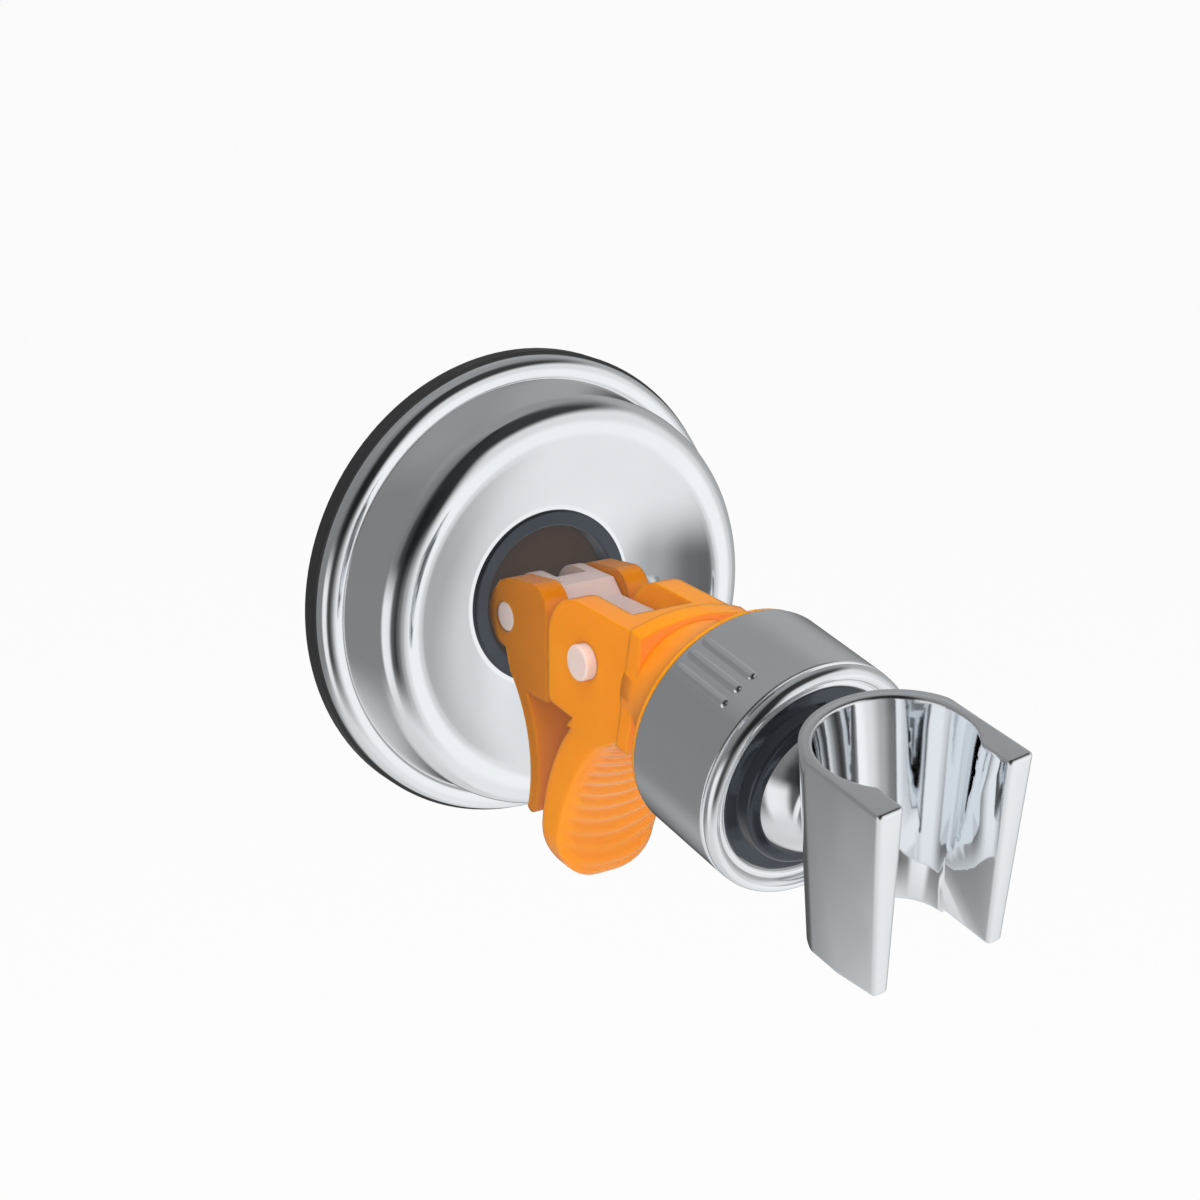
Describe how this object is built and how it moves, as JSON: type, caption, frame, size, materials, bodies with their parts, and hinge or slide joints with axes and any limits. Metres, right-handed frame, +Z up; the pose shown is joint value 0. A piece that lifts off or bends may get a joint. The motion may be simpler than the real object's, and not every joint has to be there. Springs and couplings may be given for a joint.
{
  "type": "hand shower holder",
  "caption": "Wall-fixed hand shower holder: a lever-operated suction base with a folding arm, a screwed collar and a ball-jointed tapered clip for the shower handle.",
  "frame": {"origin": "centre of the suction face, on the wall", "axes": "+Y into the wall, -Y out of it towards the user, +Z up, +X to the right of someone facing the wall"},
  "size_m": [0.0838, 0.1222, 0.088],
  "materials": {
    "chrome": "bright chrome plate",
    "clear_orange": "glossy, slightly clear",
    "deep_orange": "glossy",
    "white_plastic": "smooth",
    "black_rubber": "satin",
    "dark_plastic": "polished",
    "grey_plastic": "plain",
    "stud_steel": "turned"
  },
  "bodies": {
    "base": {"suction_cup": "black_rubber", "foot_plate": "grey_plastic", "backing_plate": "grey_plastic", "base_cover": "chrome", "throat_ring": "dark_plastic"},
    "turret": {"pull_stud": "stud_steel", "swivel_disc": "deep_orange"},
    "lever": {"rear_lever": "deep_orange", "rear_pin": "white_plastic", "link": "white_plastic", "front_pin": "white_plastic"},
    "arm": {"arm_body": "clear_orange", "friction_ring": "black_rubber"},
    "collar": {"collar_nut": "chrome", "collar_trim": "chrome", "seat_ring": "dark_plastic"},
    "ball_seat": {"ball_cup": "grey_plastic", "ball_bush": "dark_plastic"},
    "clip": {"holder_clip": "chrome"}
  },
  "joints": [
    {"name": "turret_swivel", "type": "hinge", "parent": "base", "child": "turret", "pos_m": [0, 0, 0], "axis": [0, -1, 0], "continuous": true},
    {"name": "lever_lift", "type": "hinge", "parent": "turret", "child": "lever", "pos_m": [0, -0.0135, -0.0011], "axis": [-1, 0, 0], "range_deg": [0, 25]},
    {"name": "arm_fold", "type": "hinge", "parent": "lever", "child": "arm", "pos_m": [0, -0.0388, -0.0019], "axis": [-1, 0, 0], "range_deg": [0, 70]},
    {"name": "collar_turn", "type": "hinge", "parent": "arm", "child": "collar", "pos_m": [0, -0.07829, -0.00838], "axis": [0, -0.9816, -0.1908], "range_deg": [-45, 90]},
    {"name": "ball_swivel", "type": "hinge", "parent": "arm", "child": "ball_seat", "pos_m": [0, -0.08435, -0.00956], "axis": [0, -0.9816, -0.1908], "continuous": true},
    {"name": "ball_tilt", "type": "hinge", "parent": "ball_seat", "child": "clip", "pos_m": [0, -0.08435, -0.00956], "axis": [1, 0, 0], "range_deg": [-10, 10]}
  ]
}
